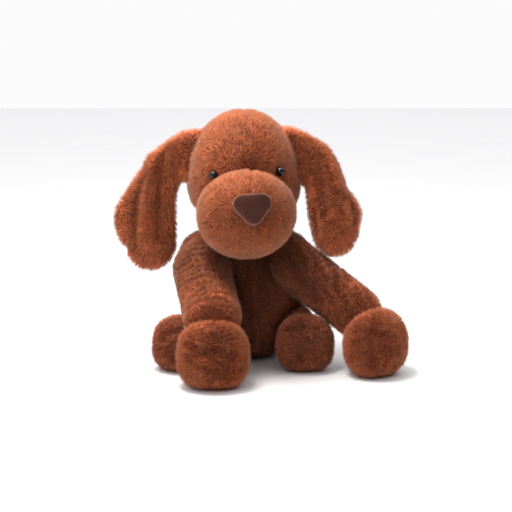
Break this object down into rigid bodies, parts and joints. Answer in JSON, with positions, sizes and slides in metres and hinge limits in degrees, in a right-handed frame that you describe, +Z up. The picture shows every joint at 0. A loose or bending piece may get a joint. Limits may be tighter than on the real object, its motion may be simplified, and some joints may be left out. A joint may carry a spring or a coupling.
{
  "type": "plush dog",
  "caption": "Seated stuffed toy dog in brown long-pile fabric, with a broad muzzle, hanging ears, bead eyes and legs reaching forward.",
  "frame": {"origin": "middle of the flattened seat, on the surface that the dog sits on", "axes": "+Z up, the dog faces -Y, +X is to the right of somebody who looks at its face"},
  "size_m": [0.2864, 0.24, 0.2449],
  "materials": {
    "head_pile": "long dense reddish-brown pile, paler at the tips",
    "ear_pile": "longer, looser reddish-brown pile with paler edges",
    "body_pile": "long dense reddish-brown pile",
    "limb_pile": "dense reddish-brown pile, brushed towards the paws",
    "rear_limb_pile": "dense reddish-brown pile, brushed towards the feet",
    "nose_velour": "short dark brown velour",
    "black_bead": "high gloss black",
    "white_plastic": "moulded white nylon",
    "polyester_filling": "loose white fibre",
    "pouch_cloth": "thin white woven lining",
    "pellet_plastic": "loose translucent beads",
    "closing_thread": "dull polyester thread"
  },
  "bodies": {
    "body": {"body_skin": "body_pile", "body_stuffing": "polyester_filling", "pellet_pouch": "pouch_cloth", "pellets": "pellet_plastic", "back_closing_stitches": "closing_thread"},
    "tail": {"tail_skin": "body_pile", "tail_stuffing": "polyester_filling"},
    "neck": {"neck_skin": "body_pile", "neck_stuffing": "polyester_filling"},
    "head": {"head_skin": "head_pile", "head_stuffing": "polyester_filling", "muzzle_skin": "head_pile", "muzzle_stuffing": "polyester_filling", "nose_cover": "nose_velour", "nose_padding": "polyester_filling", "eye_left": "black_bead", "eye_right": "black_bead", "eye_washer_left": "white_plastic", "eye_washer_right": "white_plastic"},
    "ear_left": {"ear_left_front": "ear_pile", "ear_left_back": "ear_pile", "ear_left_filling": "polyester_filling"},
    "ear_right": {"ear_right_front": "ear_pile", "ear_right_back": "ear_pile", "ear_right_filling": "polyester_filling"},
    "front_leg_left": {"front_leg_left_skin": "limb_pile", "front_leg_left_stuffing": "polyester_filling"},
    "front_paw_left": {"front_paw_left_skin": "limb_pile", "front_paw_left_stuffing": "polyester_filling"},
    "rear_leg_left": {"rear_leg_left_skin": "rear_limb_pile", "rear_leg_left_stuffing": "polyester_filling"},
    "rear_foot_left": {"rear_foot_left_skin": "rear_limb_pile", "rear_foot_left_stuffing": "polyester_filling"},
    "front_leg_right": {"front_leg_right_skin": "limb_pile", "front_leg_right_stuffing": "polyester_filling"},
    "front_paw_right": {"front_paw_right_skin": "limb_pile", "front_paw_right_stuffing": "polyester_filling"},
    "rear_leg_right": {"rear_leg_right_skin": "rear_limb_pile", "rear_leg_right_stuffing": "polyester_filling"},
    "rear_foot_right": {"rear_foot_right_skin": "rear_limb_pile", "rear_foot_right_stuffing": "polyester_filling"}
  },
  "joints": [
    {"name": "tail_wag", "type": "hinge", "parent": "body", "child": "tail", "pos_m": [0.002, 0.051, 0.028], "axis": [0, 0, 1], "range_deg": [-18, 18], "stiffness_Nm_per_rad": 0.02},
    {"name": "head_turn", "type": "hinge", "parent": "body", "child": "neck", "pos_m": [-0.006, -0.002, 0.121], "axis": [0, 0, 1], "range_deg": [-12, 12]},
    {"name": "head_nod", "type": "hinge", "parent": "neck", "child": "head", "pos_m": [-0.006, -0.002, 0.121], "axis": [1, 0, 0], "range_deg": [-18, 2]},
    {"name": "ear_left_lift", "type": "hinge", "parent": "head", "child": "ear_left", "pos_m": [-0.061, -0.007, 0.208], "axis": [0, 1, 0], "range_deg": [0, 70]},
    {"name": "ear_right_lift", "type": "hinge", "parent": "head", "child": "ear_right", "pos_m": [0.0435, -0.007, 0.209], "axis": [0, -1, 0], "range_deg": [0, 70]},
    {"name": "front_leg_left_lift", "type": "hinge", "parent": "body", "child": "front_leg_left", "pos_m": [-0.052, -0.033, 0.093], "axis": [-1, 0, 0], "range_deg": [-1, 22]},
    {"name": "front_leg_right_lift", "type": "hinge", "parent": "body", "child": "front_leg_right", "pos_m": [0.042, -0.032, 0.096], "axis": [-1, 0, 0], "range_deg": [-5, 12]},
    {"name": "front_paw_left_flex", "type": "hinge", "parent": "front_leg_left", "child": "front_paw_left", "pos_m": [-0.036, -0.098, 0.059], "axis": [-1, 0, 0], "range_deg": [-12, 12]},
    {"name": "front_paw_right_flex", "type": "hinge", "parent": "front_leg_right", "child": "front_paw_right", "pos_m": [0.1, -0.057, 0.055], "axis": [-0.6428, -0.766, 0], "range_deg": [-12, 12]},
    {"name": "rear_leg_left_swing", "type": "hinge", "parent": "body", "child": "rear_leg_left", "pos_m": [-0.042, -0.006, 0.033], "axis": [-1, 0, 0], "range_deg": [-15, 0]},
    {"name": "rear_leg_right_swing", "type": "hinge", "parent": "body", "child": "rear_leg_right", "pos_m": [0.038, -0.009, 0.033], "axis": [-1, 0, 0], "range_deg": [-15, 0]},
    {"name": "rear_foot_left_flex", "type": "hinge", "parent": "rear_leg_left", "child": "rear_foot_left", "pos_m": [-0.058, -0.036, 0.028], "axis": [-1, 0, 0], "range_deg": [-12, 2]},
    {"name": "rear_foot_right_flex", "type": "hinge", "parent": "rear_leg_right", "child": "rear_foot_right", "pos_m": [0.047, -0.038, 0.029], "axis": [-1, 0, 0], "range_deg": [-12, 2]}
  ]
}
